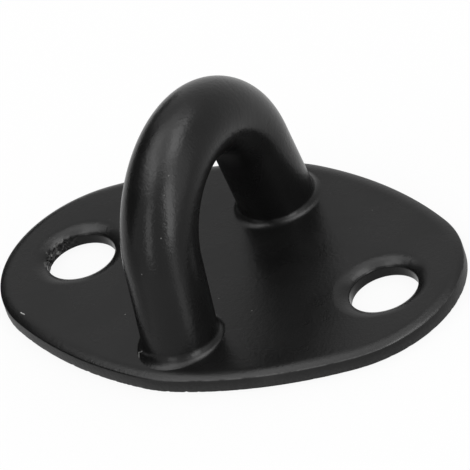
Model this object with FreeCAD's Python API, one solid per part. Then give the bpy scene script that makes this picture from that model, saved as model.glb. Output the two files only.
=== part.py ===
"""Hammock hook: a stamped plate with two screw holes and a bent round bar welded on as an eye.

The origin is the centre of the plate's flat back.  X runs along the plate through the two
screw holes, Y runs across it from foot to foot of the bar, and Z points up out of the plate.
All lengths are millimetres and all angles are degrees.
"""
import FreeCAD
import Part
import math
import os

# The bent bar.
BAR_DIAMETER = 10.0      # round bar
OVERALL_HEIGHT = 29.0    # back of the plate to the top of the bar
LEG_LEAN = 8.0           # each leg splays out by this angle towards its foot

# The plate.
PLATE_LENGTH = 65.0
PLATE_WIDTH = 43.4
PLATE_THICKNESS = 2.3
SIDE_RADIUS = 19.2       # the rounded sides of the outline, next to the feet
SIDE_ANGLE = 6.7         # each side arc runs this far to both sides of the middle
END_ANGLE = 58.6         # each end arc runs this far to both sides of the long axis

# The rolled shoulder that the punch leaves on the plate's upper edge.
SHOULDER_WIDTH = 0.9
SHOULDER_DROP = 0.4

# The screw holes and their rolled lips.
HOLE_DIAMETER = 9.0
HOLE_TO_END = 10.0       # hole centre to the end of the plate
LIP_WIDTH = 2.0
LIP_DROP = 0.7

# The weld beads around the feet.
WELD_SIZE = 1.2          # how far a bead reaches out on the plate
BEAD_EDGE = 17.0         # angle between a bead and the outer side of its leg
TOE_CLEARANCE = 0.55     # flat strip left between a bead and the shoulder

# Sizes that follow from the ones above.
BAR_RADIUS = BAR_DIAMETER / 2
HOLE_OFFSET = PLATE_LENGTH / 2 - HOLE_TO_END
LEAN = math.radians(LEG_LEAN)
FOOT_RADIUS = BAR_RADIUS / math.cos(LEAN)
FOOT_OFFSET = PLATE_WIDTH / 2 - FOOT_RADIUS - SHOULDER_WIDTH - WELD_SIZE - TOE_CLEARANCE
LEG_RISE = OVERALL_HEIGHT - BAR_RADIUS - PLATE_THICKNESS
CROWN_RADIUS = (FOOT_OFFSET * math.cos(LEAN) - LEG_RISE * math.sin(LEAN)) / (1 - math.sin(LEAN))
CROWN_HEIGHT = OVERALL_HEIGHT - BAR_RADIUS - CROWN_RADIUS

UP = FreeCAD.Vector(0, 0, 1)


def rolled_radius(width, drop):
    """Radius of an arc that leaves a flat face smoothly and falls by drop over width."""
    return (width * width + drop * drop) / (2 * drop)


def arc_about(centre, start, end):
    """Shorter circular arc from start to end about a known centre."""
    bisector = (start - centre) + (end - centre)
    middle = centre + bisector.normalize() * start.distanceToPoint(centre)
    return Part.Arc(start, middle, end).toShape()


def outline_radii():
    """Radii of the end and flank arcs that bring the outline to its length and width.

    Going round a quarter, the end arc, flank arc and side arc turn the outline from one axis to
    the other.  Their steps along X and Y add up to half the length and half the width.
    """
    leave = math.radians(END_ANGLE)
    meet = math.radians(90 - SIDE_ANGLE)
    end_x = 1 - math.cos(leave)
    end_y = math.sin(leave)
    flank_x = math.cos(leave) - math.cos(meet)
    flank_y = math.sin(meet) - math.sin(leave)
    rest_x = PLATE_LENGTH / 2 - SIDE_RADIUS * math.cos(meet)
    rest_y = PLATE_WIDTH / 2 - SIDE_RADIUS * (1 - math.sin(meet))
    scale = end_x * flank_y - flank_x * end_y
    end_radius = (rest_x * flank_y - flank_x * rest_y) / scale
    flank_radius = (end_x * rest_y - rest_x * end_y) / scale
    return end_radius, flank_radius


def plate_outline(grow):
    """Closed outline of the plate, moved outwards by grow.

    One quarter is an end arc, a flank arc and a side arc, each tangent to the next.
    """
    end_radius, flank_radius = outline_radii()
    leave = FreeCAD.Vector(math.cos(math.radians(END_ANGLE)), math.sin(math.radians(END_ANGLE)), 0)
    meet = FreeCAD.Vector(math.sin(math.radians(SIDE_ANGLE)), math.cos(math.radians(SIDE_ANGLE)), 0)
    end_c = FreeCAD.Vector(PLATE_LENGTH / 2 - end_radius, 0, 0)
    flank_c = end_c - leave * (flank_radius - end_radius)
    side_c = FreeCAD.Vector(0, PLATE_WIDTH / 2 - SIDE_RADIUS, 0)
    at_end = end_c + leave * (end_radius + grow)
    at_side = side_c + meet * (SIDE_RADIUS + grow)

    def turn(point, sx, sy):
        return FreeCAD.Vector(point.x * sx, point.y * sy, 0)

    arcs = [
        arc_about(end_c, turn(at_end, 1, -1), at_end),
        arc_about(flank_c, at_end, at_side),
        arc_about(side_c, at_side, turn(at_side, -1, 1)),
        arc_about(turn(flank_c, -1, 1), turn(at_side, -1, 1), turn(at_end, -1, 1)),
        arc_about(turn(end_c, -1, 1), turn(at_end, -1, 1), turn(at_end, -1, -1)),
        arc_about(turn(flank_c, -1, -1), turn(at_end, -1, -1), turn(at_side, -1, -1)),
        arc_about(turn(side_c, 1, -1), turn(at_side, -1, -1), turn(at_side, 1, -1)),
        arc_about(turn(flank_c, 1, -1), turn(at_side, 1, -1), turn(at_end, 1, -1)),
    ]
    return Part.Wire(arcs)


def prism(outline, bottom, top):
    """Straight-sided solid on an outline between two heights."""
    solid = Part.Face(outline).extrude(UP * (top - bottom))
    solid.translate(UP * bottom)
    return solid


def hole_cutter():
    """Turned tool for one screw hole: a straight wall with a rolled lip at the top."""
    wall_r = HOLE_DIAMETER / 2
    lip_r = wall_r + LIP_WIDTH
    roll = rolled_radius(LIP_WIDTH, LIP_DROP)
    top = PLATE_THICKNESS
    centre = FreeCAD.Vector(lip_r, 0, top - roll)
    foot = FreeCAD.Vector(wall_r, 0, top - LIP_DROP)
    brow = FreeCAD.Vector(lip_r, 0, top)
    below = FreeCAD.Vector(wall_r, 0, -1)
    above = FreeCAD.Vector(lip_r, 0, top + 1)
    edges = [
        Part.LineSegment(FreeCAD.Vector(0, 0, -1), below).toShape(),
        Part.LineSegment(below, foot).toShape(),
        arc_about(centre, foot, brow),
        Part.LineSegment(brow, above).toShape(),
        Part.LineSegment(above, FreeCAD.Vector(0, 0, top + 1)).toShape(),
        Part.LineSegment(FreeCAD.Vector(0, 0, top + 1), FreeCAD.Vector(0, 0, -1)).toShape(),
    ]
    profile = Part.Face(Part.Wire(edges))
    return profile.revolve(FreeCAD.Vector(0, 0, 0), UP, 360)


def make_base_plate():
    """Stamped plate: sheared wall, a crease, a rolled shoulder and two lipped holes."""
    roll = rolled_radius(SHOULDER_WIDTH, SHOULDER_DROP)
    blank = prism(plate_outline(roll - SHOULDER_WIDTH), -roll, PLATE_THICKNESS)
    rim = [edge for edge in blank.Edges if edge.BoundBox.ZMin > PLATE_THICKNESS - 0.001]
    blank = blank.makeFillet(roll, rim)
    plate = blank.common(prism(plate_outline(0), 0, PLATE_THICKNESS))
    cutters = []
    for side in (-1, 1):
        cutter = hole_cutter()
        cutter.translate(FreeCAD.Vector(side * HOLE_OFFSET, 0, 0))
        cutters.append(cutter)
    return plate.cut(cutters).removeSplitter()


def make_eye_bar():
    """Round bar bent to a U: leg, crown and leg, with its ends seated on the plate."""
    extra = BAR_DIAMETER
    foot = FreeCAD.Vector(0, FOOT_OFFSET, PLATE_THICKNESS)
    down = FreeCAD.Vector(0, math.sin(LEAN), -math.cos(LEAN))
    end = foot + down * extra
    crown_c = FreeCAD.Vector(0, 0, CROWN_HEIGHT)
    bend = crown_c + FreeCAD.Vector(0, math.cos(LEAN), math.sin(LEAN)) * CROWN_RADIUS
    top = crown_c + UP * CROWN_RADIUS

    def other(point):
        return FreeCAD.Vector(point.x, -point.y, point.z)

    path = Part.Wire([
        Part.LineSegment(end, bend).toShape(),
        Part.Arc(bend, top, other(bend)).toShape(),
        Part.LineSegment(other(bend), other(end)).toShape(),
    ])
    section = Part.Face(Part.Wire(Part.makeCircle(BAR_RADIUS, end, down)))
    bar = path.makePipe(section)
    reach = PLATE_LENGTH + PLATE_WIDTH
    room = Part.makeBox(2 * reach, 2 * reach, 2 * OVERALL_HEIGHT)
    room.translate(FreeCAD.Vector(-reach, -reach, PLATE_THICKNESS))
    return bar.common(room).removeSplitter()


def make_foot_weld(bar, side):
    """Hollow weld bead around one foot: a closed ring seated on the plate and on the leg.

    The bead is turned about the middle of the foot.  Its face is two straight flanks, a shallow
    one off the plate and a steep one that runs into the leg, which trims it.
    """
    slope = LEAN + math.radians(BEAD_EDGE)
    toe = FOOT_RADIUS + WELD_SIZE
    centre = FreeCAD.Vector(toe, 0, PLATE_THICKNESS + WELD_SIZE)
    start = FreeCAD.Vector(toe, 0, PLATE_THICKNESS)
    end = centre - FreeCAD.Vector(math.cos(slope), 0, math.sin(slope)) * WELD_SIZE
    middle = (math.pi / 2 + slope) / 2
    waist = centre - FreeCAD.Vector(math.cos(middle), 0, math.sin(middle)) * WELD_SIZE
    core = BAR_RADIUS / 2
    peak = end + (end - waist) * ((end.x - core) / (waist.x - end.x))
    root = FreeCAD.Vector(core, 0, PLATE_THICKNESS)
    bead = Part.Face(Part.makePolygon([root, start, waist, peak, root]))
    bead = bead.revolve(FreeCAD.Vector(0, 0, 0), UP, 360)
    bead.translate(FreeCAD.Vector(0, side * FOOT_OFFSET, 0))
    return bead.cut(bar).Solids[0]


base_plate = make_base_plate()
eye_bar = make_eye_bar()
front_foot_weld = make_foot_weld(eye_bar, -1)
rear_foot_weld = make_foot_weld(eye_bar, 1)

os.makedirs("parts", exist_ok=True)
base_plate.exportStep("parts/base_plate.step")
eye_bar.exportStep("parts/eye_bar.step")
front_foot_weld.exportStep("parts/front_foot_weld.step")
rear_foot_weld.exportStep("parts/rear_foot_weld.step")
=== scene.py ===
"""Dressed model of a welded hammock hook in a satin black powder coat.

The hook is a stamped plate with two lipped screw holes, a round bar bent to an eye and a weld
bead around each foot of the bar.  Every surface is worked out as a formula on a grid of two
parameters.  Lengths of the pieces and of the camera are millimetres.  Those of meshes, finishes,
lamps and cards are metres.
"""
import logging
import math
from dataclasses import dataclass, field
from enum import Enum
from functools import cache

import bmesh
import bpy
import numpy as np
from mathutils import Matrix, Vector


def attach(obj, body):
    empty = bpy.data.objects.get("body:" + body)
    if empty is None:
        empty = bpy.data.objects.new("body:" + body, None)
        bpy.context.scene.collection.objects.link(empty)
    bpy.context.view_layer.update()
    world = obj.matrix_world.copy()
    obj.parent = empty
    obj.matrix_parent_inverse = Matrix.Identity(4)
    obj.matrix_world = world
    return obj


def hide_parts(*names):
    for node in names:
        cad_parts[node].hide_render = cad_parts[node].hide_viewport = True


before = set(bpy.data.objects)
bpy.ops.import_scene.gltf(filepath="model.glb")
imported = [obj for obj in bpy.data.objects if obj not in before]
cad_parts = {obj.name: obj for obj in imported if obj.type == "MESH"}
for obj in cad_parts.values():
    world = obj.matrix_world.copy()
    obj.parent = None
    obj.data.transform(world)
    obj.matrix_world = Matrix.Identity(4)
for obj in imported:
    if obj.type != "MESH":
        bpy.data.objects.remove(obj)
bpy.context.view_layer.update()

log = logging.getLogger("hammock_hook")

Range = tuple[float, float]
Place = tuple[float, float, float]
Colour = tuple[float, float, float, float]

MM = 0.001
PLATE_THICKNESS = 2.3
BODY = "root"
SHARP = math.radians(35)
IMAGE_SIDE = 470
SENSOR_WIDTH = 36.0
FALL = (1.0, 0.0)
NOISE_SPAN = (0.3, 0.7)
BARE_METAL = (0.42, 0.42, 0.41, 1.0)


class Node(Enum):
    """CAD nodes that the dressed pieces stand for."""

    PLATE = "base_plate"
    BAR = "eye_bar"
    FRONT_WELD = "front_foot_weld"
    REAR_WELD = "rear_foot_weld"


class Foot(Enum):
    """The two feet of the bar, by the sign of Y."""

    FRONT = -1
    REAR = 1


class Socket(Enum):
    """Kinds of socket on a node group."""

    VECTOR = "NodeSocketVector"
    VALUE = "NodeSocketFloat"


@dataclass
class Patch:
    """A sheet of quads.

    Args:
        points: Vertex places, one row each, in millimetres.
        quads: Vertex numbers of the faces, four to a row.
    """

    points: np.ndarray
    quads: np.ndarray


def grid_patch(points: np.ndarray, closed_rows: bool = False, closed_cols: bool = False) -> Patch:
    """Sheet of quads on a grid of points, which are numbered row by row.

    Args:
        points: Array of rows by columns by three.
        closed_rows: Whether the last row joins on to the first.
        closed_cols: Whether the last point of a row joins on to its first.

    Returns:
        The sheet.
    """
    rows, cols, _ = points.shape
    i = np.arange(rows if closed_rows else rows - 1)[:, None]
    j = np.arange(cols if closed_cols else cols - 1)[None, :]
    i_next = (i + 1) % rows
    j_next = (j + 1) % cols
    corners = [i * cols + j, i * cols + j_next, i_next * cols + j_next, i_next * cols + j]
    quads = np.stack(np.broadcast_arrays(*corners), axis=-1).reshape(-1, 4)
    return Patch(points.reshape(-1, 3), quads)


def linked(name: str, data: bpy.types.ID) -> bpy.types.Object:
    """Puts a new object into the scene, at the origin.

    Args:
        name: Name of the object.
        data: Its mesh, lamp or camera.

    Returns:
        The object.
    """
    made = bpy.data.objects.new(name, data)
    bpy.context.scene.collection.objects.link(made)
    return made


def mesh_object(name: str, patches: list[Patch], weld: float = 0.0008) -> bpy.types.Object:
    """Joins sheets at their shared edges into one closed, smooth object.

    Args:
        name: Name of the piece.
        patches: Sheets whose edges fall on each other.
        weld: Points nearer to each other than this become one, in millimetres.

    Returns:
        The object, at the origin, with its faces pointing outwards.
    """
    starts = np.cumsum([0] + [len(p.points) for p in patches[:-1]])
    points = np.concatenate([p.points for p in patches]) * MM
    quads = np.concatenate([p.quads + s for p, s in zip(patches, starts)])
    mesh = bpy.data.meshes.new(name)
    mesh.from_pydata(points.tolist(), [], quads.tolist())
    shell = bmesh.new()
    shell.from_mesh(mesh)
    bmesh.ops.remove_doubles(shell, verts=shell.verts[:], dist=weld * MM)
    bmesh.ops.dissolve_degenerate(shell, edges=shell.edges[:], dist=weld * MM / 2)
    bmesh.ops.recalc_face_normals(shell, faces=shell.faces[:])
    shell.to_mesh(mesh)
    shell.free()
    mesh.shade_smooth()
    mesh.set_sharp_from_angle(angle=SHARP)
    return linked(name, mesh)


def arc_points(centre: Range, radius: float, start: float, end: float, steps: int) -> np.ndarray:
    """Points on a circular arc: centre plus radius times (cos a, sin a), a from start to end."""
    a = np.linspace(start, end, steps + 1)
    return np.stack([centre[0] + radius * np.cos(a), centre[1] + radius * np.sin(a)], axis=-1)


def apart(angle: np.ndarray, middle: float) -> np.ndarray:
    """Angles in radians from a middle in degrees, the short way round."""
    return np.angle(np.exp(1j * (angle - math.radians(middle))))


@dataclass(frozen=True)
class Ripple:
    """Seeded sum of sines of whole numbers of waves, scaled to about -1 to 1.

    Args:
        waves: Numbers of waves in a full turn.
        seed: Seed of the phases and the weights.
        gain: Scale that brings the sum near to the full range.
    """

    waves: tuple[int, ...]
    seed: int
    gain: float = 1.6

    def at(self, angle: np.ndarray) -> np.ndarray:
        """Values of the ripple: the weighted sum of sin(waves times angle plus phase).

        Args:
            angle: Angles in radians.

        Returns:
            Values of the same shape.
        """
        draw = np.random.default_rng(self.seed)
        phases = draw.uniform(0, 2 * math.pi, len(self.waves))
        weights = draw.uniform(0.5, 1.0, len(self.waves))
        total = (weights * np.sin(angle[..., None] * np.array(self.waves) + phases)).sum(axis=-1)
        return total / weights.sum() * self.gain


@dataclass(frozen=True)
class RolledEdge:
    """Section of a punched edge: a rolled shoulder, a softened crease, a sheared wall.

    Args:
        width: How far the shoulder reaches in from the wall.
        drop: How far it falls below the flat face.
        crease: Radius that the coat leaves on the crease.
        base: Radius of the lower edge.
        roll_steps: Steps along the shoulder.
        bend_steps: Steps along each small arc, and points along the wall.
    """

    width: float
    drop: float
    crease: float
    base: float = 0.16
    roll_steps: int = 18
    bend_steps: int = 8

    def section(self, thickness: float) -> np.ndarray:
        """Section from the flat upper face to the flat back.

        The shoulder is an arc tangent to the flat face.  A small arc inside it is tangent to
        both the shoulder and the wall, and another one rounds the lower edge.

        Args:
            thickness: Thickness of the plate.

        Returns:
            Points of (outward, height): 0 outward is the wall and less is inside the metal.
        """
        roll = (self.width ** 2 + self.drop ** 2) / (2 * self.drop)
        low = thickness - roll
        rise = math.sqrt((roll - self.crease) ** 2 - (self.width - self.crease) ** 2)
        meet = math.atan2(rise, self.width - self.crease)
        shoulder = arc_points((-self.width, low), roll, math.pi / 2, meet, self.roll_steps)
        bend = arc_points((-self.crease, low + rise), self.crease, meet, 0.0, self.bend_steps)
        foot = arc_points((-self.base, self.base), self.base, 0.0, -math.pi / 2, self.bend_steps)
        wall = np.linspace(bend[-1], foot[0], self.bend_steps)
        return np.concatenate([shoulder, bend[1:], wall[1:-1], foot])


@dataclass
class PunchedPlate:
    """The stamped plate: rounded-diamond outline, rolled edge and two lipped screw holes.

    Args:
        length: Length along X.
        width: Width along Y.
        thickness: Thickness along Z.
        side_radius: Radius of the outline where it crosses the Y axis.
        side_angle: Half the turn of that side arc, in degrees.
        end_angle: Half the turn of an end arc, in degrees.
        hole_radius: Radius of a screw hole.
        hole_to_end: Distance from a hole's middle to the plate's end.
        edge: Section of the outer edge.
        lip: Section of a hole's edge.
        lumps: How deep the uneven spots of a lip sink.
        lumps_right: Their ripple round the right hole.
        lumps_left: Their ripple round the left hole.
        chip_depth: How far the left hole's wall is eaten away.
        chip_angle: Direction of the chips from the hole's middle, in degrees.
        chip_reach: How far the chips reach from it, in degrees.
        chip_coarse: Ripple of the large chips.
        chip_fine: Ripple of the small ones.
        burr: How far the ragged lower edge steps in.
        burr_angle: Direction where it is most ragged, in degrees.
        burr_spread: How fast it fades away from there, in radians.
        burr_teeth: Ripple of the teeth.
        burr_runs: Ripple that parts the teeth into runs.
        half_steps: Steps along half of the outline.
        middle_steps: Steps along the line where both halves meet.
        flat_steps: Rows of points across a flat face.
    """

    length: float = 65.0
    width: float = 43.4
    thickness: float = PLATE_THICKNESS
    side_radius: float = 19.2
    side_angle: float = 6.7
    end_angle: float = 58.6
    hole_radius: float = 4.5
    hole_to_end: float = 10.0
    edge: RolledEdge = RolledEdge(1.7, 0.42, 0.2)
    lip: RolledEdge = RolledEdge(2.1, 0.75, 0.5)
    lumps: float = 0.035
    lumps_right: Ripple = Ripple((3, 5, 8), 41)
    lumps_left: Ripple = Ripple((3, 5, 8), 47)
    chip_depth: float = 0.3
    chip_angle: float = 176.0
    chip_reach: float = 56.0
    chip_coarse: Ripple = Ripple((9, 14, 21), 11)
    chip_fine: Ripple = Ripple((29, 37), 5)
    burr: float = 0.15
    burr_angle: float = -104.0
    burr_spread: float = 0.45
    burr_teeth: Ripple = Ripple((61, 97, 151, 229), 21)
    burr_runs: Ripple = Ripple((5, 9, 17), 22)
    half_steps: int = 400
    middle_steps: int = 64
    flat_steps: int = 8

    @property
    def hole_offset(self) -> float:
        """Distance of a hole's centre from the middle of the plate."""
        return self.length / 2 - self.hole_to_end

    @property
    def crease_height(self) -> float:
        """Height of the crease between the outer wall and its shoulder."""
        return self.thickness - self.edge.drop

    def half_outline(self, fine_steps: int = 4000) -> tuple[np.ndarray, np.ndarray]:
        """The outline where X is not negative, from the front middle to the rear middle.

        The outward normal turns from -90 to 90 degrees.  Within end_angle of the long axis the
        point is on the end arc, within side_angle of the short axis on the side arc, and between
        them on the flank arc, which is tangent to both.  The points are evenly spread along the
        outline.

        Args:
            fine_steps: Steps of the turn with which the outline's length is summed.

        Returns:
            Points and outward normals, each of half_steps plus one rows by two.
        """
        leave = math.radians(self.end_angle)
        meet = math.radians(90 - self.side_angle)
        steps = np.array([
            [1 - math.cos(leave), math.cos(leave) - math.cos(meet)],
            [math.sin(leave), math.sin(meet) - math.sin(leave)],
        ])
        rest = np.array([
            self.length / 2 - self.side_radius * math.cos(meet),
            self.width / 2 - self.side_radius * (1 - math.sin(meet)),
        ])
        end_r, flank_r = np.linalg.solve(steps, rest)
        end_c = np.array([self.length / 2 - end_r, 0.0])
        flank_c = end_c - np.array([math.cos(leave), math.sin(leave)]) * (flank_r - end_r)
        side_c = np.array([0.0, self.width / 2 - self.side_radius])

        fine = np.linspace(0, math.pi / 2, fine_steps + 1)
        radius = np.where(fine < leave, end_r, np.where(fine < meet, flank_r, self.side_radius))
        run = np.concatenate([[0.0], np.cumsum(np.diff(fine) * radius[1:])])
        quarter = np.interp(np.linspace(0, run[-1], self.half_steps // 2 + 1), run, fine)
        turn = np.concatenate([-quarter[:0:-1], quarter])
        side = np.abs(turn)
        normal = np.stack([np.cos(turn), np.sin(turn)], axis=-1)
        radius = np.where(side < leave, end_r, np.where(side < meet, flank_r, self.side_radius))
        on_end, on_flank = (side < leave)[:, None], (side < meet)[:, None]
        centre = np.where(on_end, end_c, np.where(on_flank, flank_c, side_c))
        centre = centre * np.where(turn < 0, -1, 1)[:, None] ** np.array([0, 1])
        points = centre + normal * radius[:, None]
        points[[0, -1], 0] = 0.0
        return points, normal

    def half_patches(self) -> list[Patch]:
        """Sheets of the half where X is not negative.

        The rim and the hole carry their edge sections round the outline and the circle.  The
        flat faces are straight spokes from the hole's ring to the rim's ring, or to the middle
        line, so each spoke is (1 - s) times a ring point plus s times an outer point.

        Returns:
            Rim, hole, upper face and back.
        """
        outline, normal = self.half_outline()
        rim = self.edge.section(self.thickness)
        lip = self.lip.section(self.thickness)
        rim_xy = outline[None] + normal[None] * rim[:, 0, None, None]
        rim_z = np.broadcast_to(rim[:, 1, None, None], rim_xy.shape[:2] + (1,))
        rim_grid = np.concatenate([rim_xy, rim_z], axis=-1)

        patches = [grid_patch(rim_grid)]
        hole_c = np.array([self.hole_offset, 0.0])
        close, inset = np.array([0, 0.004, 0.02]), 0.06
        s = np.concatenate([close, np.linspace(inset, 1 - inset, self.flat_steps), 1 - close[::-1]])
        rings = []
        for row in (0, -1):
            y = np.linspace(rim_grid[row, -1, 1], rim_grid[row, 0, 1], self.middle_steps + 1)[1:-1]
            middle = np.stack([np.zeros_like(y), y], axis=-1)
            rings.append(np.concatenate([rim_grid[row, :, :2], middle]))
        spoke = rings[0] - hole_c
        angle = np.arctan2(spoke[:, 1], spoke[:, 0])
        ray = np.stack([np.cos(angle), np.sin(angle)], axis=-1)
        radius = self.hole_radius - lip[:, 0]
        lip_xy = hole_c + ray[None] * radius[:, None, None]
        lip_z = np.broadcast_to(lip[:, 1, None, None], lip_xy.shape[:2] + (1,))
        patches.append(grid_patch(np.concatenate([lip_xy, lip_z], axis=-1), closed_cols=True))
        for row, ring in zip((0, -1), rings):
            flat = (1 - s)[:, None, None] * lip_xy[row][None] + s[:, None, None] * ring[None]
            height = np.full(flat.shape[:2] + (1,), rim[row, 1])
            patches.append(grid_patch(np.concatenate([flat, height], axis=-1), closed_cols=True))
        return patches

    def build(self) -> bpy.types.Object:
        """Makes the plate from one half and its mirror image.

        Returns:
            The closed plate.
        """
        half = self.half_patches()
        mirror = np.array([-1.0, 1.0, 1.0])
        other = [Patch(p.points * mirror, p.quads[:, ::-1]) for p in half]
        half[1].points = self.lumpy(half[1].points, self.lumps_right)
        other[1].points = self.chipped(self.lumpy(other[1].points, self.lumps_left))
        return mesh_object("plate", [Patch(self.burred(p.points), p.quads) for p in half + other])

    def lumpy(self, points: np.ndarray, uneven: Ripple) -> np.ndarray:
        """Makes the rolled lip of a hole a little uneven.

        A point sinks by lumps times a positive ripple of its angle about the hole.  The move is
        a half sine of its place across the lip, so it is gone at the flat face and at the wall.

        Args:
            points: Points of a hole's lip and wall.
            uneven: The ripple.

        Returns:
            The moved points.
        """
        away = points[:, :2] - [math.copysign(self.hole_offset, points[:, 0].mean()), 0.0]
        out = np.hypot(away[:, 0], away[:, 1]) - self.hole_radius
        angle = np.arctan2(away[:, 1], away[:, 0])
        across = np.sin(math.pi * np.clip(out / self.lip.width, 0, 1))
        upper = points[:, 2] > self.thickness / 2
        wave = 0.5 + 0.5 * np.clip(uneven.at(angle), -1, 1)
        sink = self.lumps * across * upper * wave
        return points - sink[:, None] * [0.0, 0.0, 1.0]

    def chipped(self, points: np.ndarray) -> np.ndarray:
        """Eats the left hole's wall away where the coat is chipped.

        A point moves away from the hole's middle by chip_depth times a ripple of its angle and
        its share of the thickness.  The move fades out away from chip_angle, at the flat face
        and at the back.

        Args:
            points: Points of the left hole's lip and wall.

        Returns:
            The moved points.
        """
        foot, top, top_fade = 0.12, 0.8, 0.2
        coarse_slant, fine_slant = 0.5, -0.4
        waves_up, waves_round = 5.0, 3.0
        fine_part, deepest, steep = 0.25, 1.3, 0.7
        away = points[:, :2] - [-self.hole_offset, 0.0]
        radius = np.hypot(away[:, 0], away[:, 1])
        angle = np.arctan2(away[:, 1], away[:, 0])
        near = 1 - (apart(angle, self.chip_angle) / math.radians(self.chip_reach)) ** 2
        near = np.clip(near, 0, 1) ** steep
        share = points[:, 2] / self.thickness
        deep = np.clip(share / foot, 0, 1) * np.clip((top - share) / top_fade, 0, 1)
        coarse = self.chip_coarse.at(angle + coarse_slant * share)
        coarse = coarse * np.cos(waves_up * share + waves_round * angle)
        rough = 0.5 + 0.5 * coarse + fine_part * self.chip_fine.at(angle + fine_slant * share)
        move = self.chip_depth * near * deep * np.clip(rough, 0, deepest)
        ray = away / radius[:, None]
        return points + np.concatenate([ray * move[:, None], np.zeros((len(points), 1))], axis=1)

    def burred(self, points: np.ndarray) -> np.ndarray:
        """Makes the lower outer edge a little ragged.

        Points of the edge move towards the plate's middle by burr times a positive ripple of
        their angle about the middle.  The move is full at the back and gone a little above it,
        and it is strongest near burr_angle.

        Args:
            points: Points of a sheet.

        Returns:
            The moved points.
        """
        everywhere, steady = 0.35, 0.6
        gone = 4 * self.edge.base
        inner, inner_fade = 0.9 * self.width / 2, 0.05 * self.width
        hole_room = 1.5 * self.hole_radius
        angle = np.arctan2(points[:, 1], points[:, 0])
        reach = np.hypot(points[:, 0], points[:, 1])
        jag = self.burr_teeth.at(angle) * (steady + (1 - steady) * self.burr_runs.at(angle))
        near = np.exp(-(apart(angle, self.burr_angle) / self.burr_spread) ** 2)
        jag = jag * (everywhere + (1 - everywhere) * near)
        low = np.clip(1 - points[:, 2] / gone, 0, 1)
        outer = np.clip((reach - inner) / inner_fade, 0, 1)
        from_hole = np.hypot(np.abs(points[:, 0]) - self.hole_offset, points[:, 1])
        outer = np.where(from_hole < hole_room, 0, outer)
        move = self.burr * low * outer * np.clip(jag, 0, 1)
        return points * (1 - np.stack([move, move, 0 * move], axis=1) / np.maximum(reach, 1)[:, None])


@dataclass
class BentBar:
    """The round bar bent to a U: leg, crown and leg, seated on the plate.

    Args:
        radius: Radius of the bar.
        height: Height of the eye above the plate's back.
        lean: Lean of each leg, in degrees.
        foot_offset: Distance of a foot's middle from the plate's middle.
        seat: Height of the plate's face.
        around: Points round the bar.
        leg_steps: Steps along a leg.
        crown_steps: Steps along the crown.
    """

    radius: float = 5.0
    height: float = 29.0
    lean: float = 8.0
    foot_offset: float = 14.0
    seat: float = PLATE_THICKNESS
    around: int = 144
    leg_steps: int = 60
    crown_steps: int = 160

    @property
    def lean_angle(self) -> float:
        """Lean of a leg in radians."""
        return math.radians(self.lean)

    @property
    def crown_radius(self) -> float:
        """Radius of the crown's centre line, which both leaning legs touch.

        Returns:
            The radius.
        """
        rise = self.height - self.radius - self.seat
        sine = math.sin(self.lean_angle)
        return (self.foot_offset * math.cos(self.lean_angle) - rise * sine) / (1 - sine)

    @property
    def crown_height(self) -> float:
        """Height of the crown's centre."""
        return self.height - self.radius - self.crown_radius

    def leg(self, foot: Foot, around: np.ndarray, lift: np.ndarray) -> np.ndarray:
        """Points on a leg.

        A point is the foot's centre plus the bar's radius times (cos a, sin a) across the leg,
        moved along the leg.  At lift 0 it is on the plate's face, and at lift 1 on the plane
        where the crown begins.

        Args:
            foot: Which leg.
            around: Angles a round the bar.
            lift: Places along the leg, of a shape that broadcasts with the angles.

        Returns:
            Points, three numbers each.
        """
        sign = foot.value
        up = np.array([0.0, -sign * math.sin(self.lean_angle), math.cos(self.lean_angle)])
        out = np.array([0.0, sign * math.cos(self.lean_angle), math.sin(self.lean_angle)])
        base = np.array([0.0, sign * self.foot_offset, self.seat])
        top = math.cos(self.lean_angle) * self.crown_radius - self.foot_offset
        length = top / -math.sin(self.lean_angle)
        a, q = np.broadcast_arrays(around, lift)
        ring = self.radius * (np.cos(a)[..., None] * [1.0, 0.0, 0.0] + np.sin(a)[..., None] * out)
        start = -ring[..., 2] / up[2]
        along = (1 - q) * start + q * length
        return base + ring + along[..., None] * up

    def crown(self, around: np.ndarray, turn: np.ndarray) -> np.ndarray:
        """Points on the crown: part of a ring turned about the X axis through its centre.

        Args:
            around: Angles round the bar.
            turn: Angles along the crown from the +Y axis.

        Returns:
            Points, three numbers each.
        """
        a, b = np.broadcast_arrays(around, turn)
        reach = self.crown_radius + self.radius * np.sin(a)
        return np.stack([
            self.radius * np.cos(a),
            reach * np.cos(b),
            self.crown_height + reach * np.sin(b),
        ], axis=-1)

    def build(self) -> bpy.types.Object:
        """Makes the bar as one tube with a flat disc under each foot.

        Returns:
            The closed bar.
        """
        a = np.linspace(0, 2 * math.pi, self.around, endpoint=False)[None, :]
        lift = np.linspace(0, 1, self.leg_steps + 1)[:, None]
        turn = np.linspace(self.lean_angle, math.pi - self.lean_angle, self.crown_steps + 1)[:, None]
        rear = self.leg(Foot.REAR, a, lift)
        front = self.leg(Foot.FRONT, a, lift)[::-1]
        tube = np.concatenate([rear, self.crown(a, turn)[1:-1], front])
        share = np.array([1.0, 0.98, 0.5, 0.0])[:, None, None]
        discs = []
        for ring in (rear[0], front[-1]):
            centre = ring.mean(axis=0)
            discs.append(grid_patch(centre + (ring - centre)[None] * share, closed_cols=True))
        return mesh_object("bar", [grid_patch(tube, closed_cols=True)] + discs)


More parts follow.
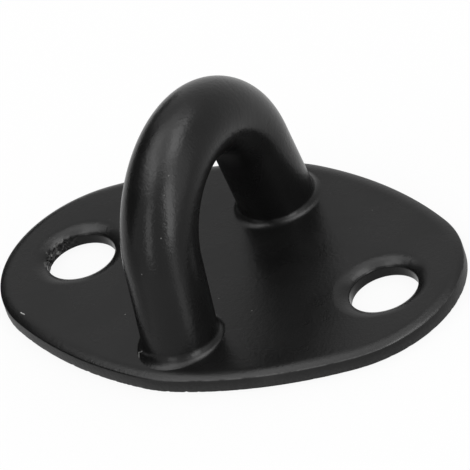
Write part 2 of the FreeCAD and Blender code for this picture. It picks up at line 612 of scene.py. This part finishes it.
@dataclass
class FootBead:
    """A weld bead around one foot, hollow and smooth.

    It is fullest on the side that faces the plate's edge, and its legs vary a little round it.

    Args:
        bar: The bar that it holds.
        foot: Which foot.
        seed: Seed of its variation.
        size: Length of its legs, up the bar and out on the plate.
        fuller: Share by which both legs grow on the outer side.
        inner_spread: Share by which the toe is wider on the inner side.
        outer_spread: Share by which the toe is wider on the outer side.
        sink: How far the outer toe sinks into the plate.
        vary: Share by which the legs vary.
        vary_hollow: Share by which the hollow varies.
        around: Points round the foot.
        across: Steps across the bead's face.
        closing: Steps along each hidden face.
    """

    bar: BentBar
    foot: Foot
    seed: int
    size: float = 0.95
    fuller: float = 0.45
    inner_spread: float = 0.0
    outer_spread: float = 0.0
    sink: float = 0.06
    vary: float = 0.12
    vary_hollow: float = 0.05
    around: int = 360
    across: int = 24
    closing: int = 3

    def wander(self, angle: np.ndarray, shift: int, amount: float) -> np.ndarray:
        """Slow variation round the foot: a sum of a few sines with seeded phases.

        Args:
            angle: Angles round the foot.
            shift: Added to the seed, so that each use differs.
            amount: Size of the variation.

        Returns:
            Values around zero, one for each angle.
        """
        draw = np.random.default_rng(self.seed + shift)
        waves = np.array([2, 3, 5, 7, 11])
        weight = np.array([0.5, 0.35, 0.25, 0.2, 0.12])
        phases = draw.uniform(0, 2 * math.pi, waves.size)
        return amount * (weight * np.sin(angle[:, None] * waves + phases)).sum(axis=1)

    def build(self) -> bpy.types.Object:
        """Makes the ring of the bead.

        At each angle the section is a conic arc that is tangent to the bar at its upper end and
        to the plate at its toe, with the foot's corner as the point where both tangents cross.
        The bar's own line and the plate's face close it.

        Returns:
            The closed ring.
        """
        a = np.linspace(0, 2 * math.pi, self.around, endpoint=False)
        outer = np.clip(np.sin(a), 0, 1) ** 2
        inner = np.clip(-np.sin(a), 0, 1) ** 2
        corner = self.bar.leg(self.foot, a, np.zeros_like(a))
        top = self.bar.leg(self.foot, a, np.ones_like(a))
        climb = (top - corner) / np.linalg.norm(top - corner, axis=1, keepdims=True)
        away = corner - corner.mean(axis=0)
        away /= np.linalg.norm(away, axis=1, keepdims=True)
        swell = self.fuller * outer
        spread = self.inner_spread * inner + self.outer_spread * outer
        up_leg = self.size * (1 + swell + self.wander(a, 0, self.vary))
        out_leg = self.size * (1 + swell + spread + self.wander(a, 1, self.vary))
        high = corner + climb * up_leg[:, None]
        toe = corner + away * out_leg[:, None] - (self.sink * outer)[:, None] * [0.0, 0.0, 1.0]
        t = np.linspace(0, 1, self.across + 1)[:, None, None]
        opening = np.arccos(np.clip((climb * away).sum(axis=1), -1, 1))
        hollow = np.sin(opening / 2) + self.wander(a, 2, self.vary_hollow)
        pull = 2 * hollow[None, :, None] * t * (1 - t)
        total = (1 - t) ** 2 + pull + t ** 2
        face = ((1 - t) ** 2 * high + pull * corner + t ** 2 * toe) / total
        under = np.linspace(toe, corner, self.closing + 1)[1:]
        inside = np.linspace(corner, high, self.closing + 1)[1:-1]
        loop = np.concatenate([face, under, inside])
        name = "front_bead" if self.foot is Foot.FRONT else "rear_bead"
        return mesh_object(name, [grid_patch(loop, closed_rows=True, closed_cols=True)])


@dataclass(frozen=True)
class Grain:
    """How fine a noise is.

    Args:
        scale: Waves per metre.
        detail: Number of finer layers.
        rough: How strong they are.
    """

    scale: float
    detail: float
    rough: float = 0.5


CLOUD = Grain(120.0, 2.0)
FLOW = Grain(260.0, 1.0)
PEEL = Grain(1700.0, 1.0)
GRIT = Grain(3600.0, 2.0)
FLAKES = Grain(1300.0, 3.0, 0.6)
RAGS = Grain(4000.0, 2.0)
# Noise that breaks the painted highlight on the crease into patches.
HIGHLIGHT_PATCHES = Grain(500.0, 2.0)
SHEAR_MARKS = Grain(2600.0, 2.0, 0.6)
DUST_CELLS = 700.0


class ShaderTree:
    """Small helper that places and links nodes in one node tree."""

    def __init__(self, tree: bpy.types.NodeTree) -> None:
        """Keeps the node tree to fill."""
        self.tree = tree

    def add(self, kind: str, **settings: object) -> bpy.types.Node:
        """Adds a node.

        Args:
            kind: Type name of the node.
            settings: Properties of the node, by name.

        Returns:
            The node.
        """
        node = self.tree.nodes.new(kind)
        for name, value in settings.items():
            setattr(node, name, value)
        return node

    def feed(self, socket: bpy.types.NodeSocket, value: object) -> None:
        """Links a socket to another one, or sets it to a plain value.

        Args:
            socket: Input socket.
            value: Output socket to link, or a number, colour or vector.
        """
        if isinstance(value, bpy.types.NodeSocket):
            self.tree.links.new(value, socket)
        else:
            socket.default_value = value

    def use(self, group: bpy.types.NodeTree, **inputs: object) -> bpy.types.Node:
        """Places a node group and feeds its inputs.

        Args:
            group: The group.
            inputs: What is fed, by the names of its sockets in small letters.

        Returns:
            The group's node.
        """
        node = self.add("ShaderNodeGroup", node_tree=group)
        for name, value in inputs.items():
            self.feed(node.inputs[name.capitalize()], value)
        return node

    def math(self, operation: str, *values: object, clamp: bool = False) -> bpy.types.NodeSocket:
        """Math node.

        Args:
            operation: Name of the operation.
            values: Its inputs.
            clamp: Whether the result stays between 0 and 1.

        Returns:
            The result.
        """
        node = self.add("ShaderNodeMath", operation=operation, use_clamp=clamp)
        for socket, value in zip(node.inputs, values):
            self.feed(socket, value)
        return node.outputs[0]

    def product(self, first: object, *others: object) -> bpy.types.NodeSocket:
        """Product of two or more values.

        Args:
            first: The first value.
            others: The other values.

        Returns:
            The product.
        """
        for other in others:
            first = self.math("MULTIPLY", first, other)
        return first

    def vector_node(self, operation: str, *values: object) -> bpy.types.Node:
        """Vector math node.

        Args:
            operation: Name of the operation.
            values: Its first inputs.

        Returns:
            The node.
        """
        node = self.add("ShaderNodeVectorMath", operation=operation)
        for socket, value in zip(node.inputs, values):
            self.feed(socket, value)
        return node

    def vector(self, operation: str, *values: object) -> bpy.types.NodeSocket:
        """Vector that an operation on vectors gives."""
        return self.vector_node(operation, *values).outputs["Vector"]

    def measure(self, operation: str, *values: object) -> bpy.types.NodeSocket:
        """Number that an operation on vectors gives."""
        return self.vector_node(operation, *values).outputs["Value"]

    def noise(self, place: object, grain: Grain) -> bpy.types.NodeSocket:
        """Noise texture.

        Args:
            place: Where it is read.
            grain: How fine it is.

        Returns:
            Its value between 0 and 1.
        """
        node = self.add("ShaderNodeTexNoise")
        self.feed(node.inputs["Vector"], place)
        node.inputs["Scale"].default_value = grain.scale
        node.inputs["Detail"].default_value = grain.detail
        node.inputs["Roughness"].default_value = grain.rough
        return node.outputs["Fac"]

    def remap(self, value: object, source: Range, target: Range = (0.0, 1.0)) -> bpy.types.NodeSocket:
        """Smooth change of range.

        Args:
            value: What to change.
            source: Values that become the ends of the target.
            target: Results for them.

        Returns:
            The result, which stays within the target.
        """
        node = self.add("ShaderNodeMapRange", interpolation_type="SMOOTHSTEP")
        self.feed(node.inputs["Value"], value)
        for name, number in zip(("From Min", "From Max", "To Min", "To Max"), (*source, *target)):
            node.inputs[name].default_value = number
        return node.outputs["Result"]

    def mix(self, factor: object, under: object, over: object, blend: str = "MIX") -> bpy.types.NodeSocket:
        """Colour mix.

        Args:
            factor: Share of the upper colour.
            under: Lower colour.
            over: Upper colour.
            blend: How the two are blended.

        Returns:
            The mixed colour.
        """
        node = self.add("ShaderNodeMix", data_type="RGBA", blend_type=blend)
        # Inputs 6 and 7 and output 2 are the node's colours.
        sockets = (node.inputs["Factor"], node.inputs[6], node.inputs[7])
        for socket, value in zip(sockets, (factor, under, over)):
            self.feed(socket, value)
        return node.outputs[2]


class GroupTree(ShaderTree):
    """Node group whose results are all plain values."""

    def __init__(self, name: str, vectors: list[str], values: list[str], results: list[str]) -> None:
        """Makes the group and its sockets.

        Args:
            name: Name of the group.
            vectors: Names of its vector inputs.
            values: Names of its value inputs.
            results: Names of its outputs.
        """
        super().__init__(bpy.data.node_groups.new(name, "ShaderNodeTree"))
        for kind, sockets in ((Socket.VECTOR, vectors), (Socket.VALUE, values)):
            for socket in sockets:
                self.tree.interface.new_socket(socket, in_out="INPUT", socket_type=kind.value)
        for socket in results:
            self.tree.interface.new_socket(socket, in_out="OUTPUT", socket_type=Socket.VALUE.value)
        self.given = self.add("NodeGroupInput").outputs
        self.result = self.add("NodeGroupOutput").inputs


def new_material(name: str) -> tuple[bpy.types.Material, ShaderTree]:
    """Makes an empty material.

    Args:
        name: Name of the material.

    Returns:
        The material and its tree.
    """
    made = bpy.data.materials.new(name)
    made.use_nodes = True
    made.node_tree.nodes.clear()
    return made, ShaderTree(made.node_tree)


@cache
def grain_group() -> bpy.types.NodeTree:
    """Node group of the coat's grain, built once and shared.

    The height is a slow flow, an orange peel and a fine grit.  A cloud varies the roughness and
    the shade.  Dust lies in the middles of a few picked cells of a cell texture.

    Returns:
        Group that puts out the coat's height, a roughness, a shade and specks of dust.
    """
    grit_share, flow_share = 0.9, 1.3
    rough_change = (-0.03, 0.03)
    shade_span, shade_change = (0.25, 0.75), (0.85, 1.15)
    few, speck = 0.92, (0.04, 0.09)
    tree = GroupTree("coat_grain", ["Place"], ["Roughness"], ["Height", "Roughness", "Shade", "Dust"])
    place = tree.given["Place"]
    cloud = tree.noise(place, CLOUD)
    height = tree.math("MULTIPLY_ADD", tree.noise(place, GRIT), grit_share, tree.noise(place, PEEL))
    height = tree.math("MULTIPLY_ADD", tree.noise(place, FLOW), flow_share, height)
    change = tree.remap(cloud, NOISE_SPAN, rough_change)
    cells = tree.add("ShaderNodeTexVoronoi", feature="F1")
    tree.feed(cells.inputs["Vector"], place)
    cells.inputs["Scale"].default_value = DUST_CELLS
    pick = tree.add("ShaderNodeSeparateColor")
    tree.feed(pick.inputs[0], cells.outputs["Color"])
    picked = tree.math("GREATER_THAN", pick.outputs[0], few)
    small = tree.remap(cells.outputs["Distance"], speck, FALL)
    tree.feed(tree.result["Height"], height)
    tree.feed(tree.result["Roughness"], tree.math("ADD", tree.given["Roughness"], change))
    tree.feed(tree.result["Shade"], tree.remap(cloud, shade_span, shade_change))
    tree.feed(tree.result["Dust"], tree.product(picked, small))
    return tree.tree


@cache
def chip_group() -> bpy.types.NodeTree:
    """Node group of a chipped patch, built once and shared.

    Returns:
        Group that puts out how bare the metal is, near a middle and within a reach.
    """
    fade, flaked, bareness = (0.35, 1.0), (0.52, 0.7), (0.0, 0.5)
    tree = GroupTree("coat_chips", ["Place", "Middle"], ["Reach"], ["Bare"])
    away = tree.measure("DISTANCE", tree.given["Place"], tree.given["Middle"])
    near = tree.remap(tree.math("DIVIDE", away, tree.given["Reach"]), fade, FALL)
    flakes = tree.product(tree.noise(tree.given["Place"], FLAKES), near)
    tree.feed(tree.result["Bare"], tree.remap(flakes, flaked, bareness))
    return tree.tree


@cache
def scratch_group() -> bpy.types.NodeTree:
    """Node group of a straight scratch, built once and shared.

    Returns:
        Group that puts out how bare the metal is, by the distance from a line that begins at
        Start and goes along Run.
    """
    fade, rag_size = (0.25, 1.0), (-0.3, 0.3)
    tree = GroupTree("coat_scratch", ["Place", "Start", "Run"], ["Width"], ["Bare"])
    run = tree.given["Run"]
    away = tree.vector("SUBTRACT", tree.given["Place"], tree.given["Start"])
    passed = tree.measure("DOT_PRODUCT", away, run)
    share = tree.math("DIVIDE", passed, tree.measure("DOT_PRODUCT", run, run), clamp=True)
    along = tree.vector_node("SCALE", run)
    tree.feed(along.inputs["Scale"], share)
    off = tree.measure("DISTANCE", away, along.outputs["Vector"])
    reach = tree.math("DIVIDE", off, tree.given["Width"])
    ragged = tree.remap(tree.noise(tree.given["Place"], RAGS), NOISE_SPAN, rag_size)
    tree.feed(tree.result["Bare"], tree.remap(tree.math("ADD", reach, ragged), fade, FALL))
    return tree.tree


@dataclass
class CoatLayers:
    """Sockets of a coat while its wear and painted light are laid on.

    Args:
        tree: Tree of the material.
        place: Object coordinates.
        colour: Colour so far.
        pale: Mask of the dust and the bare metal so far.
        rough: Roughness so far, without that mask.
        height: Height of the bump so far.
    """

    tree: ShaderTree
    place: bpy.types.NodeSocket
    colour: bpy.types.NodeSocket
    pale: bpy.types.NodeSocket
    rough: bpy.types.NodeSocket
    height: bpy.types.NodeSocket

    def strip(self, mask: bpy.types.NodeSocket, bare: Colour) -> None:
        """Shows metal of the colour bare where a mask is above 0, and adds the mask to pale."""
        self.colour = self.tree.mix(mask, self.colour, bare)
        self.pale = self.tree.math("MAXIMUM", self.pale, mask)


@dataclass(frozen=True)
class Chips:
    """A patch where the coat is chipped.

    Args:
        middle: Its middle.
        reach: How far the chips reach from it.
        bare: Colour of the metal.
    """

    middle: Place
    reach: float
    bare: Colour = BARE_METAL

    def lay(self, coat: CoatLayers) -> None:
        """Lays the chips on a coat."""
        chips = coat.tree.use(chip_group(), place=coat.place, middle=self.middle, reach=self.reach)
        coat.strip(chips.outputs["Bare"], self.bare)


@dataclass(frozen=True)
class Scratch:
    """A straight scratch in the coat.

    Args:
        start: Where it begins.
        run: From there to its end.
        width: How far from its line it fades out.
        depth: How bare the metal is in it, 0 to 1.
        bare: Colour of the metal.
    """

    start: Place
    run: Place
    width: float
    depth: float
    bare: Colour = BARE_METAL

    def lay(self, coat: CoatLayers) -> None:
        """Lays the scratch on a coat.

        Args:
            coat: The coat so far.
        """
        line = coat.tree.use(
            scratch_group(), place=coat.place, start=self.start, run=self.run, width=self.width
        )
        coat.strip(coat.tree.product(line.outputs["Bare"], self.depth), self.bare)


@dataclass(frozen=True)
class Shear:
    """The coarse sheared wall of a plate with a painted sheen on it, and a painted highlight on the crease
    above it.

    Args:
        crease: Height of the crease.
        hole: Middle of a hole where X is positive.  Holes keep a plain wall.
        over: How far above the crease the coarse wall ends.
        soft: Height over which it fades out there.
        crest_under: How far below that end the middle of the painted highlight on the crest lies.
        crest: Distances from its middle where the painted highlight is full and where it ends.
        crest_patches: Values of a noise where the painted highlight begins and where it is full.
        crest_run: Places along X where the painted highlight begins and where it is full, so that it lies
            towards +X only.
        wall_clear: Distances from a hole's middle where the wall begins and where it is full.
        crest_clear: The same for the painted highlight.
        sheen: Heights over which the painted sheen weakens, from the lower edge upwards.
        sheen_level: How strong the painted sheen is at those heights.
        rougher: Roughness that the wall adds.
        coarser: Height of the wall's grain, where the peel's is 1.
        wall_sheen: Lighter colour painted on the high spots of the wall's grain, a painted sheen.
        crest_highlight: Colour of the painted highlight on the crest.
    """

    crease: float
    hole: Place
    over: float = 0.00004
    soft: float = 0.0002
    crest_under: float = 0.00005
    crest: Range = (0.00003, 0.00009)
    crest_patches: Range = (0.3, 0.55)
    crest_run: Range = (-0.004, 0.003)
    wall_clear: Range = (0.0055, 0.007)
    crest_clear: Range = (0.0075, 0.012)
    sheen: Range = (0.0002, 0.00162)
    sheen_level: Range = (1.7, 0.2)
    rougher: float = 0.2
    coarser: float = 3.0
    # Painted light: a lighter sheen on the wall and a lighter highlight line on the crease.
    wall_sheen: Colour = (0.024, 0.024, 0.024, 1.0)
    crest_highlight: Colour = (0.055, 0.055, 0.055, 1.0)

    def lay(self, coat: CoatLayers) -> None:
        """Lays the painted highlight on the crest and the coarse wall with its painted sheen on a coat.

        Args:
            coat: The coat so far.
        """
        tree = coat.tree
        parts = tree.add("ShaderNodeSeparateXYZ")
        tree.feed(parts.inputs[0], coat.place)
        clear = tree.measure("DISTANCE", tree.vector("ABSOLUTE", coat.place), self.hole)
        top = self.crease + self.over
        wall = tree.product(
            tree.remap(parts.outputs["Z"], (top - self.soft, top), FALL),
            tree.remap(clear, self.wall_clear),
        )
        # Painted highlight: a lighter line along the crease, towards +X only and away from the holes.
        off = tree.math("SUBTRACT", parts.outputs["Z"], top - self.crest_under)
        crest = tree.product(
            tree.remap(tree.math("ABSOLUTE", off), self.crest, FALL),
            tree.remap(tree.noise(coat.place, HIGHLIGHT_PATCHES), self.crest_patches),
            tree.remap(parts.outputs["X"], self.crest_run),
            tree.remap(clear, self.crest_clear),
        )
        coarse = tree.product(wall, tree.noise(coat.place, SHEAR_MARKS))
        # Painted sheen: the wall's grain gets a lighter colour, strongest near the lower edge.
        sheen = tree.product(coarse, tree.remap(parts.outputs["Z"], self.sheen, self.sheen_level))
        coat.colour = tree.mix(sheen, tree.mix(crest, coat.colour, self.crest_highlight), self.wall_sheen)
        coat.rough = tree.math("MULTIPLY_ADD", wall, self.rougher, coat.rough)
        coat.height = tree.math("MULTIPLY_ADD", coarse, self.coarser, coat.height)


@dataclass(frozen=True)
class CoatFinish:
    """Satin black powder coat.

    Args:
        name: Name of the material.
        wear_and_painted_light: Chips, scratches and sheared walls, the last with a painted sheen and a
            painted crease highlight, in the order in which they are laid on.
        colour: Colour of the coat.
        dust: Colour of the specks of dust.
        roughness: Middle roughness.
        pale_rougher: Roughness that dust and bare metal add.
        ior: Index of refraction, which sets how strong the gloss is.
        peel: Height of the orange peel.
    """

    name: str
    wear_and_painted_light: tuple[Chips | Scratch | Shear, ...] = ()
    colour: Colour = (0.0065, 0.0065, 0.0065, 1.0)
    dust: Colour = (0.13, 0.13, 0.125, 1.0)
    roughness: float = 0.27
    pale_rougher: float = 0.25
    ior: float = 1.257
    peel: float = 0.000018

    def material(self) -> bpy.types.Material:
        """Makes the material.

        Returns:
            The finished material.
        """
        made, tree = new_material(self.name)
        place = tree.add("ShaderNodeTexCoord").outputs["Object"]
        grain = tree.use(grain_group(), place=place, roughness=self.roughness).outputs
        colour = tree.mix(1.0, self.colour, grain["Shade"], "MULTIPLY")
        colour = tree.mix(grain["Dust"], colour, self.dust)
        coat = CoatLayers(tree, place, colour, grain["Dust"], grain["Roughness"], grain["Height"])
        for mark in self.wear_and_painted_light:
            mark.lay(coat)
        bump = tree.add("ShaderNodeBump")
        bump.inputs["Distance"].default_value = self.peel
        tree.feed(bump.inputs["Height"], coat.height)
        shader = tree.add("ShaderNodeBsdfPrincipled")
        shader.inputs["IOR"].default_value = self.ior
        tree.feed(shader.inputs["Base Color"], coat.colour)
        rough = tree.math("MULTIPLY_ADD", coat.pale, self.pale_rougher, coat.rough)
        tree.feed(shader.inputs["Roughness"], rough)
        tree.feed(shader.inputs["Normal"], bump.outputs["Normal"])
        out = tree.add("ShaderNodeOutputMaterial")
        tree.feed(out.inputs["Surface"], shader.outputs["BSDF"])
        return made


HOLE_MIDDLE_HEIGHT = 0.001
PLATE_SCRATCH = Scratch((-0.0248, -0.0124, 0.0023), (0.0007, -0.0003, 0.0), 0.00011, 1.0)
HOLE_CHIPS = Chips((-0.0267, 0.0015, 0.0016), 0.0036)
HOLE_FLECKS = (
    Scratch((-0.027, 0.0012, 0.0017), (0.0002, 0.0007, 0.0), 0.00025, 0.25),
    Scratch((-0.0267, 0.0019, 0.0017), (0.0003, 0.0006, 0.0), 0.00016, 0.5),
    Scratch((-0.0274, -0.0003, 0.0019), (0.0002, -0.0001, -0.0001), 0.0002, 0.3),
    Scratch((-0.0273, -0.0002, 0.0012), (0.0, -0.0004, -0.0002), 0.00025, 0.2),
    Scratch((-0.0268, -0.002, 0.0017), (0.0005, -0.0007, 0.0), 0.00025, 0.2),
    Scratch((-0.0202, 0.0038, 0.0003), (0.0021, -0.0022, 0.0014), 0.0003, 0.12),
)
BEAD_FLAW = (
    Scratch((-0.0037, -0.0189, 0.0023), (-0.0007, 0.0014, 0.0001), 0.00012, 0.3),
    Scratch((-0.0044, -0.0175, 0.0024), (0.0008, -0.0001, 0.0004), 0.00012, 0.3),
)


@dataclass
class Hook:
    """The whole hook: plate, bar and two beads."""

    plate: PunchedPlate = field(default_factory=PunchedPlate)
    bar: BentBar = field(default_factory=BentBar)

    def dress(self, piece: bpy.types.Object, finish: CoatFinish, node: Node) -> bpy.types.Object:
        """Gives a piece its finish and its place in the frame.

        Args:
            piece: The piece.
            finish: Its finish.
            node: CAD node that it stands for.

        Returns:
            The same piece.
        """
        piece.data.materials.append(finish.material())
        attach(piece, BODY)
        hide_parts(node.value)
        return piece

    def build(self) -> list[bpy.types.Object]:
        """Builds and dresses every piece.

        Returns:
            The pieces.
        """
        hole = (self.plate.hole_offset * MM, 0.0, HOLE_MIDDLE_HEIGHT)
        # The shear paints a sheen on the plate's wall and a highlight on its crease.
        shear = Shear(self.plate.crease_height * MM, hole)
        plate_coat = CoatFinish("plate_coat", (HOLE_CHIPS, PLATE_SCRATCH, *HOLE_FLECKS, shear))
        bar_coat = CoatFinish("bar_coat", peel=0.000024)
        front = FootBead(self.bar, Foot.FRONT, seed=3, outer_spread=0.35, sink=0.12)
        rear = FootBead(self.bar, Foot.REAR, seed=29, inner_spread=0.7)
        return [
            self.dress(self.plate.build(), plate_coat, Node.PLATE),
            self.dress(self.bar.build(), bar_coat, Node.BAR),
            self.dress(front.build(), CoatFinish("front_bead_coat", BEAD_FLAW), Node.FRONT_WELD),
            self.dress(rear.build(), CoatFinish("rear_bead_coat"), Node.REAR_WELD),
        ]


@dataclass(frozen=True)
class Panel:
    """Flat card or lamp of the studio, as the hook sees it.

    Args:
        name: Its name.
        azimuth: Direction of its middle in degrees from -Y towards +X.
        elevation: Height of its middle in degrees.
        width: Degrees that it takes up across.
        height: Degrees that it takes up upwards.
        level: Light that it adds, where 1 is the white of the surroundings.
    """

    name: str
    azimuth: float
    elevation: float
    width: float
    height: float
    level: float = 0.0

    def spread(self, reach: float) -> Range:
        """Width and height in metres at a distance of reach."""
        wide, high = (2 * reach * math.tan(math.radians(a / 2)) for a in (self.width, self.height))
        return wide, high

    def stand(self, reach: float) -> Matrix:
        """Frame of the panel where it stands.

        Args:
            reach: Its distance.

        Returns:
            Frame whose -Z axis points at the hook.
        """
        az, el = math.radians(self.azimuth), math.radians(self.elevation)
        out = Vector((math.sin(az) * math.cos(el), -math.cos(az) * math.cos(el), math.sin(el)))
        along = Vector((math.cos(az), math.sin(az), 0))
        turn = Matrix((along, out.cross(along), out)).transposed().to_4x4()
        return Matrix.Translation(out * reach) @ turn

    def corners(self, reach: float) -> list[list[float]]:
        """Corners of the panel where it stands.

        Args:
            reach: Its distance.

        Returns:
            Four corners in order round it.
        """
        wide, high = (length / 2 for length in self.spread(reach))
        flat = np.array([(-wide, -high, 0), (wide, -high, 0), (wide, high, 0), (-wide, high, 0)])
        stand = np.array(self.stand(reach))
        return (flat @ stand[:3, :3].T + stand[:3, 3]).tolist()


@dataclass(frozen=True)
class FloorCard:
    """Card on the floor that carries on the light of a lamp or the dark of a black card.

    Args:
        name: Its name.
        start: Point of the floor that it fans out from.
        azimuth: Direction of its middle line in degrees from -Y towards +X.
        width: Degrees that it takes up across, seen from that point.
        level: Its light, where 1 is the white of the surroundings.
        near: Distance of its near end from the point.
        far: Distance of its far end.
        height: Its height, just above the floor and below the plate's back.
    """

    name: str
    start: Range
    azimuth: float
    width: float
    level: float
    near: float = 0.012
    far: float = 1.2
    height: float = -0.00001

    def corners(self) -> list[list[float]]:
        """Corners on both sides of the middle line, at the near and the far end.

        Returns:
            Four corners in order round it.
        """
        sides = np.radians(self.azimuth + self.width / 2 * np.array([-1, 1, 1, -1]))
        reach = np.array([self.near, self.near, self.far, self.far])
        x = self.start[0] + reach * np.sin(sides)
        y = self.start[1] - reach * np.cos(sides)
        return np.stack([x, y, np.full(4, self.height)], axis=-1).tolist()


LAMPS = (
    Panel("zenith_lamp", 0, 90, 30, 30, 2.6),
    Panel("front_left_high_lamp", -52, 66, 30, 22, 3.9),
    Panel("front_high_lamp", -12, 64, 18, 22, 3.8),
    Panel("right_high_lamp", 83, 62, 26, 26, 4.4),
    Panel("rear_right_high_lamp", 128, 66, 30, 22, 6.0),
    Panel("rear_high_lamp", 175, 62, 30, 26, 1.2),
    Panel("rear_left_high_lamp", -140, 66, 30, 22, 1.8),
    Panel("left_high_lamp", -95, 62, 26, 26, 2.8),
    Panel("side_lamp", 64, 24, 18, 46, 8.0),
    Panel("side_soft_lamp", 92, 24, 34, 46, 1.3),
    Panel("front_lamp", 0, 24, 15, 46, 3.9),
)
BLACK_CARDS = (
    Panel("black_card", -83, 24, 64, 46),
    Panel("low_black_card", -126, 10, 26, 22),
)
FLOOR_CARDS = (
    FloorCard("pale_floor_card", (0.003, -0.017), 66, 18, 2.5),
    FloorCard("grey_floor_card", (-0.003, -0.017), -55, 42, 0.55),
)


@dataclass
class Studio:
    """White sweep, soft lights and the camera.

    Args:
        azimuth: Direction that the camera looks from, in degrees from -Y towards +X.
        elevation: Height that it looks from, in degrees.
        roll: Its turn about the line of sight, in degrees.
        slide: Where the middle of the plate's back lies to the right of and below the line of
            sight, in millimetres.
        distance: From the camera to that middle along the line of sight, in millimetres.
        pixels_per_mm: Scale of the picture there.
        reach: Distance of the lamps and the black cards.
        floor_side: Half the side of the floor.
        floor_height: Height of the floor, just below the plate's back.
        paper: Colour of the floor.
        floor_glow: Share of the floor's white that no shadow falls on.
    """

    azimuth: float = 38.62
    elevation: float = 35.819
    roll: float = 19.029
    slide: Range = (-0.0752, 6.003)
    distance: float = 1539.8
    pixels_per_mm: float = 7.8347
    reach: float = 1.5
    floor_side: float = 3.0
    floor_height: float = -0.00002
    paper: Colour = (0.97, 0.97, 0.97, 1.0)
    floor_glow: float = 0.88

    def camera(self) -> None:
        """Makes the camera."""
        az, el, ro = (math.radians(v) for v in (self.azimuth, self.elevation, self.roll))
        right = Vector((math.cos(az), math.sin(az), 0))
        ahead = Vector((-math.sin(az) * math.cos(el), math.cos(az) * math.cos(el), -math.sin(el)))
        down = ahead.cross(right)
        across = right * math.cos(ro) + down * math.sin(ro)
        below = down * math.cos(ro) - right * math.sin(ro)
        place = -(across * self.slide[0] + below * self.slide[1] + ahead * self.distance) * MM
        turn = Matrix((across, -below, -ahead)).transposed().to_4x4()
        data = bpy.data.cameras.new("camera")
        data.sensor_width = SENSOR_WIDTH
        data.lens = SENSOR_WIDTH * self.pixels_per_mm * self.distance / IMAGE_SIDE
        data.clip_start = 0.1
        data.clip_end = 20.0
        eye = linked("camera", data)
        eye.matrix_world = Matrix.Translation(place) @ turn
        bpy.context.scene.camera = eye

    def lamp(self, panel: Panel) -> None:
        """Soft lamp that lights the gloss alone.

        Its power is pi times its area times its level, which makes it as bright as that level.

        Args:
            panel: The lamp's place, size and level.
        """
        data = bpy.data.lights.new(panel.name, "AREA")
        data.shape = "RECTANGLE"
        data.size, data.size_y = panel.spread(self.reach)
        data.energy = math.pi * data.size * data.size_y * panel.level
        lamp = linked(panel.name, data)
        lamp.matrix_world = panel.stand(self.reach)
        lamp.visible_camera = False
        lamp.visible_diffuse = False

    def sheet(self, name: str, corners: list, material: bpy.types.Material) -> bpy.types.Object:
        """Flat sheet of the studio.

        Args:
            name: Its name.
            corners: Its four corners.
            material: Its material.

        Returns:
            The sheet.
        """
        mesh = bpy.data.meshes.new(name)
        mesh.from_pydata(corners, [], [(0, 1, 2, 3)])
        mesh.materials.append(material)
        made = linked(name, mesh)
        return made

    def card(self, name: str, corners: list, level: float) -> None:
        """Card with an even level of light, seen in the gloss alone.

        Args:
            name: Its name.
            corners: Its four corners.
            level: Its light, where 0 is black and 1 is the white of the surroundings.
        """
        material, tree = new_material(f"{name}_paper")
        glow = tree.add("ShaderNodeEmission")
        glow.inputs["Strength"].default_value = level
        out = tree.add("ShaderNodeOutputMaterial")
        tree.feed(out.inputs["Surface"], glow.outputs["Emission"])
        board = self.sheet(name, corners, material)
        board.visible_camera = False
        board.visible_diffuse = False
        board.visible_shadow = False

    def world(self) -> None:
        """White surroundings with a plain level of light."""
        world = bpy.data.worlds.new("studio")
        bpy.context.scene.world = world
        world.use_nodes = True
        world.node_tree.nodes.clear()
        tree = ShaderTree(world.node_tree)
        white = tree.add("ShaderNodeBackground")
        white.inputs["Color"].default_value = (1, 1, 1, 1)
        out = tree.add("ShaderNodeOutputWorld")
        tree.feed(out.inputs["Surface"], white.outputs["Background"])

    def floor(self) -> None:
        """White floor that keeps a faint shadow and is clear from below.

        Camera, glossy and transmission rays see a mix of lit paper, which takes the shadow, and
        of an even glow.  The other rays see the paper alone.
        """
        material, tree = new_material("floor_paper")
        paper = tree.add("ShaderNodeBsdfDiffuse")
        paper.inputs["Color"].default_value = self.paper
        path = tree.add("ShaderNodeLightPath")
        seen = tree.math("MAXIMUM", path.outputs["Is Camera Ray"], path.outputs["Is Glossy Ray"])
        seen = tree.math("MAXIMUM", seen, path.outputs["Is Transmission Ray"])
        white = tree.add("ShaderNodeMixShader")
        tree.feed(white.inputs[0], tree.product(seen, self.floor_glow))
        tree.feed(white.inputs[1], paper.outputs["BSDF"])
        tree.feed(white.inputs[2], tree.add("ShaderNodeEmission").outputs["Emission"])
        clear = tree.add("ShaderNodeMixShader")
        tree.feed(clear.inputs[0], tree.add("ShaderNodeNewGeometry").outputs["Backfacing"])
        tree.feed(clear.inputs[1], white.outputs["Shader"])
        tree.feed(clear.inputs[2], tree.add("ShaderNodeBsdfTransparent").outputs["BSDF"])
        out = tree.add("ShaderNodeOutputMaterial")
        tree.feed(out.inputs["Surface"], clear.outputs["Shader"])
        side, low = self.floor_side, self.floor_height
        corners = [(-side, -side, low), (side, -side, low), (side, side, low), (-side, side, low)]
        self.sheet("floor", corners, material)

    def build(self) -> None:
        """Sets the camera, the floor, the lamps and the cards."""
        self.camera()
        self.world()
        self.floor()
        for lamp in LAMPS:
            self.lamp(lamp)
        for card in BLACK_CARDS:
            self.card(card.name, card.corners(self.reach), card.level)
        for card in FLOOR_CARDS:
            self.card(card.name, card.corners(), card.level)
        bpy.context.scene.view_settings.view_transform = "Standard"


def corners(box: tuple[Vector, Vector]) -> list[list[float]]:
    """Low and high corner of a box as plain numbers."""
    return [list(box[0]), list(box[1])]


def main() -> None:
    """Builds the hook and its studio."""
    logging.basicConfig(level=logging.INFO, format="%(name)s: %(message)s")
    for piece in Hook().build():
        log.info("%s: %d faces", piece.name, len(piece.data.polygons))
    Studio().build()
    log.info("studio: %d lamps and %d cards", len(LAMPS), len(BLACK_CARDS) + len(FLOOR_CARDS))


if __name__ == "__main__":
    main()
